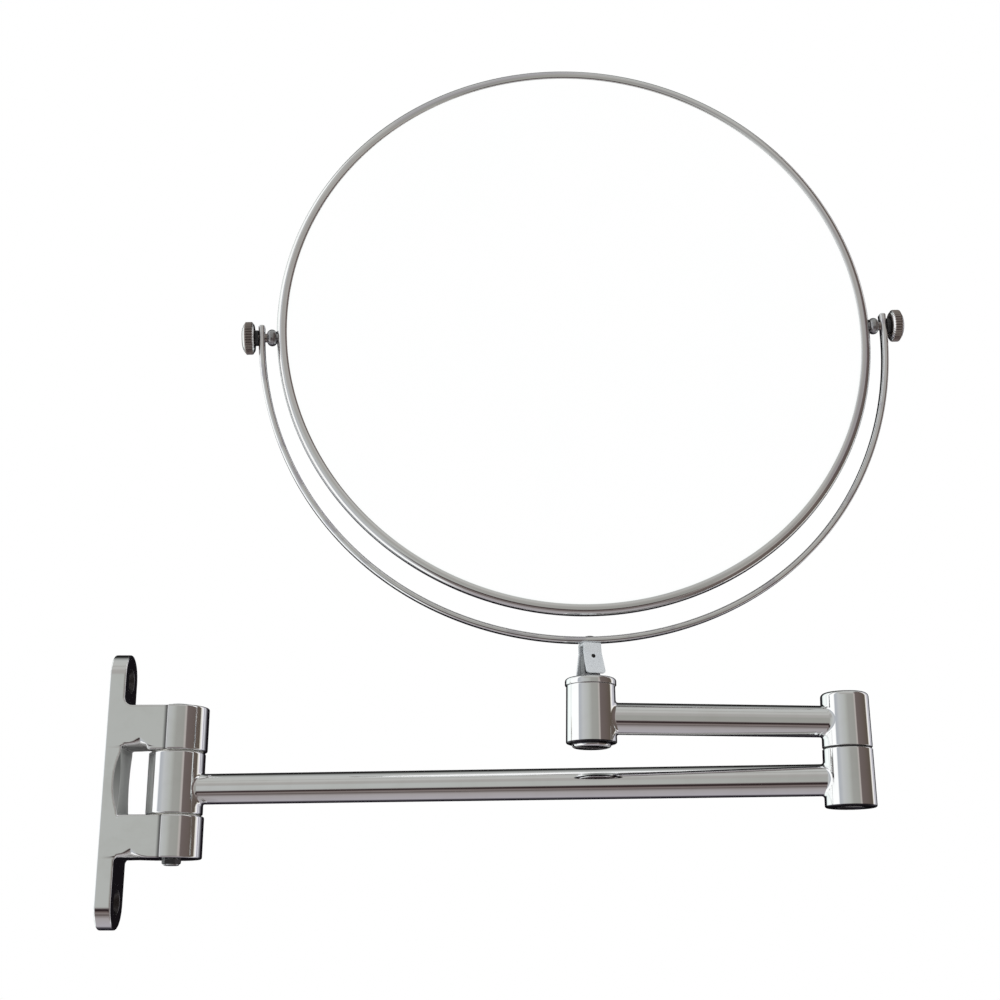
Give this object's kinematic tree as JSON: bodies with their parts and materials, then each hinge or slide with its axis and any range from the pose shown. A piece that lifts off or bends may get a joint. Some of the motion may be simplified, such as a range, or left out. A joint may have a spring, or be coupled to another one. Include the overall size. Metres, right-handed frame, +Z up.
{
  "type": "extendable shaving mirror",
  "caption": "Round two-sided shaving mirror in a U-shaped yoke on a knuckle and a folding two-piece chrome wall arm that swings out from a slim wall bracket.",
  "frame": {"origin": "middle of the wall plate's back face", "axes": "+X straight out of the wall, +Z up, the plain face of the mirror looks towards -Y"},
  "size_m": [0.2672, 0.0568, 0.2948],
  "materials": {
    "wall_bracket": "polished chrome plate",
    "wall_pivot_pin": "plain zinc-plated steel, satin",
    "wall_pivot_nut": "chrome plate, slightly dulled",
    "wall_washer_upper": "natural nylon",
    "wall_washer_lower": "natural nylon",
    "wall_barrel": "polished chrome plate",
    "long_arm_tube": "polished chrome plate",
    "elbow_lower_barrel": "polished chrome plate",
    "elbow_friction_washer": "black fibre or nylon",
    "elbow_upper_barrel": "polished chrome plate",
    "elbow_pivot_bolt": "plain zinc-plated steel, satin",
    "elbow_spring_washer": "plain zinc-plated steel, satin",
    "short_arm_tube": "polished chrome plate",
    "front_barrel": "polished chrome plate",
    "front_barrel_cap": "polished chrome plate",
    "swivel_stem": "plain zinc-plated steel, satin",
    "swivel_screw": "polished chrome plate",
    "swivel_spring_washer": "plain zinc-plated steel, satin",
    "knuckle_clevis": "plain zinc-plated steel, satin",
    "knuckle_pin": "chrome plate, slightly dulled",
    "yoke_rivet": "plain zinc-plated steel, satin",
    "yoke": "polished chrome plate",
    "right_collar": "black fibre or nylon",
    "left_collar": "black fibre or nylon",
    "mirror_rim": "polished chrome plate",
    "plain_glass": "silvered glass",
    "glass_spacer_ring": "grey foam card",
    "magnifying_glass": "silvered glass",
    "right_pivot_boss": "chrome plate, slightly dulled",
    "left_pivot_boss": "chrome plate, slightly dulled",
    "right_thumb_screw": "chrome plate, slightly dulled",
    "left_thumb_screw": "chrome plate, slightly dulled"
  },
  "bodies": {
    "bracket": {"wall_bracket": "wall_bracket", "wall_pivot_pin": "wall_pivot_pin", "wall_pivot_nut": "wall_pivot_nut", "wall_washer_upper": "wall_washer_upper", "wall_washer_lower": "wall_washer_lower"},
    "long_arm": {"wall_barrel": "wall_barrel", "long_arm_tube": "long_arm_tube", "elbow_lower_barrel": "elbow_lower_barrel", "elbow_friction_washer": "elbow_friction_washer"},
    "short_arm": {"elbow_upper_barrel": "elbow_upper_barrel", "elbow_pivot_bolt": "elbow_pivot_bolt", "elbow_spring_washer": "elbow_spring_washer", "short_arm_tube": "short_arm_tube", "front_barrel": "front_barrel", "front_barrel_cap": "front_barrel_cap"},
    "swivel": {"swivel_stem": "swivel_stem", "swivel_screw": "swivel_screw", "swivel_spring_washer": "swivel_spring_washer"},
    "knuckle": {"knuckle_clevis": "knuckle_clevis", "knuckle_pin": "knuckle_pin", "yoke_rivet": "yoke_rivet"},
    "yoke": {"yoke": "yoke", "right_collar": "right_collar", "left_collar": "left_collar"},
    "mirror": {"mirror_rim": "mirror_rim", "plain_glass": "plain_glass", "glass_spacer_ring": "glass_spacer_ring", "magnifying_glass": "magnifying_glass", "right_pivot_boss": "right_pivot_boss", "left_pivot_boss": "left_pivot_boss"},
    "right_thumb_screw": {"right_thumb_screw": "right_thumb_screw"},
    "left_thumb_screw": {"left_thumb_screw": "left_thumb_screw"}
  },
  "joints": [
    {"name": "wall_swing", "type": "hinge", "parent": "bracket", "child": "long_arm", "pos_m": [0.0224, 0, 0], "axis": [0, 0, 1], "range_deg": [-83.1, 96.9]},
    {"name": "elbow_fold", "type": "hinge", "parent": "long_arm", "child": "short_arm", "pos_m": [0.23981, -0.02631, 0.01], "axis": [0, 0, 1], "continuous": true},
    {"name": "stem_swivel", "type": "hinge", "parent": "short_arm", "child": "swivel", "pos_m": [0.15869, -0.03412, 0.02], "axis": [0, 0, 1], "continuous": true},
    {"name": "knuckle_tilt", "type": "hinge", "parent": "swivel", "child": "knuckle", "pos_m": [0.15869, -0.03412, 0.0375], "axis": [-0.309, 0.9511, 0], "range_deg": [-23.44, 26.56]},
    {"name": "yoke_turn", "type": "hinge", "parent": "knuckle", "child": "yoke", "pos_m": [0.15869, -0.03412, 0.0375], "axis": [-0.0259, -0.0084, 0.9996], "continuous": true},
    {"name": "mirror_flip", "type": "hinge", "parent": "yoke", "child": "mirror", "pos_m": [0.15582, -0.03505, 0.14833], "axis": [0.9973, 0.0596, 0.0426], "continuous": true},
    {"name": "right_thumb_turn", "type": "hinge", "parent": "mirror", "child": "right_thumb_screw", "pos_m": [0.15582, -0.03505, 0.14833], "axis": [0.9973, 0.0596, 0.0426], "range_deg": [0, 360]},
    {"name": "left_thumb_turn", "type": "hinge", "parent": "mirror", "child": "left_thumb_screw", "pos_m": [0.15582, -0.03505, 0.14833], "axis": [-0.9973, -0.0596, -0.0426], "range_deg": [0, 360]}
  ]
}
